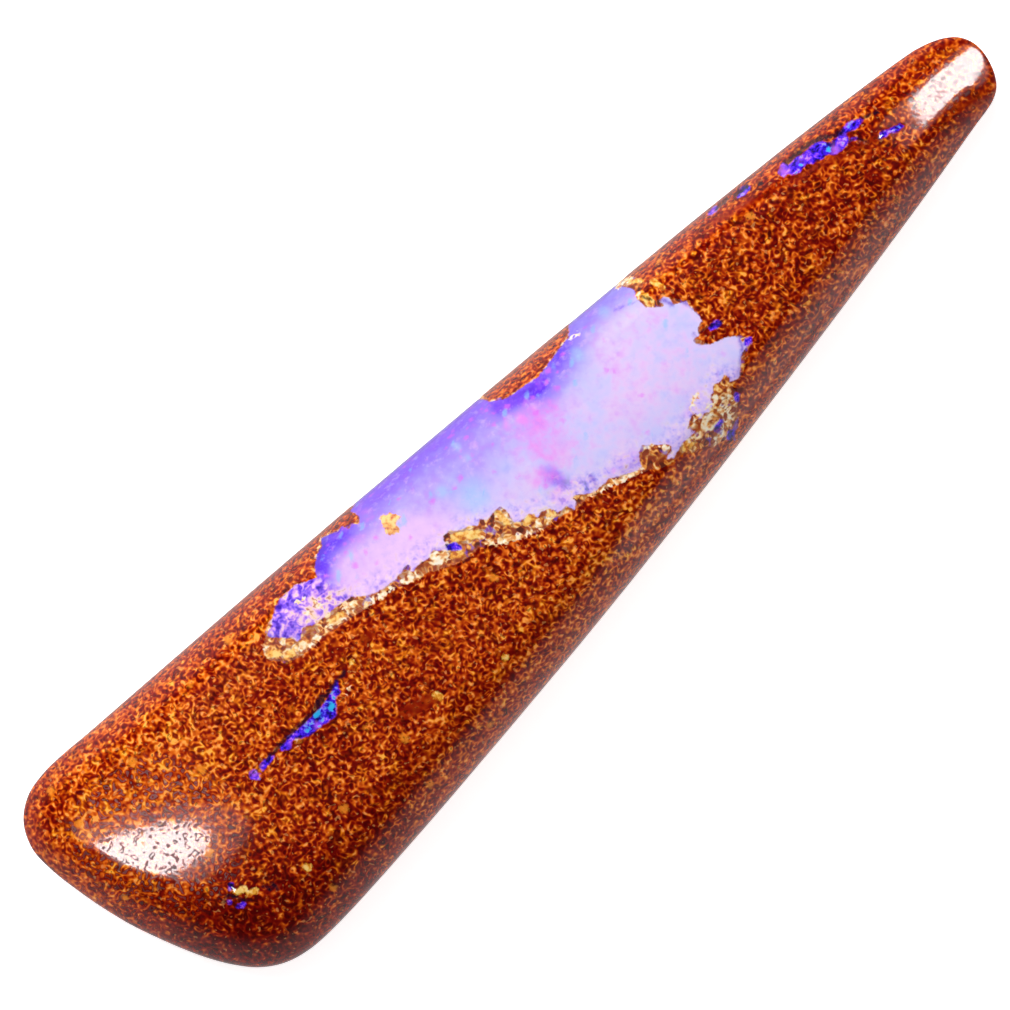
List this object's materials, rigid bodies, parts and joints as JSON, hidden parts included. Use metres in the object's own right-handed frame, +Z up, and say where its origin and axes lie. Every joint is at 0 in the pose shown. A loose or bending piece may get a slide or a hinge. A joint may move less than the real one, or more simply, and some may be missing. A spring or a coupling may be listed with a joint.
{
  "type": "polished boulder opal stone",
  "caption": "Long tapering freeform cabochon of brown ironstone with a seam of violet precious opal across its domed polished face, resting on a flat ground back.",
  "frame": {"origin": "middle of the stone's plan, at the level of its flat back", "axes": "+X along the stone towards its narrow tip, +Z up out of the polished domed face"},
  "size_m": [0.04, 0.0102, 0.0049],
  "materials": {
    "ironstone_and_opal": "polished"
  },
  "bodies": {
    "root": {"boulder_opal": "ironstone_and_opal"}
  },
  "joints": []
}
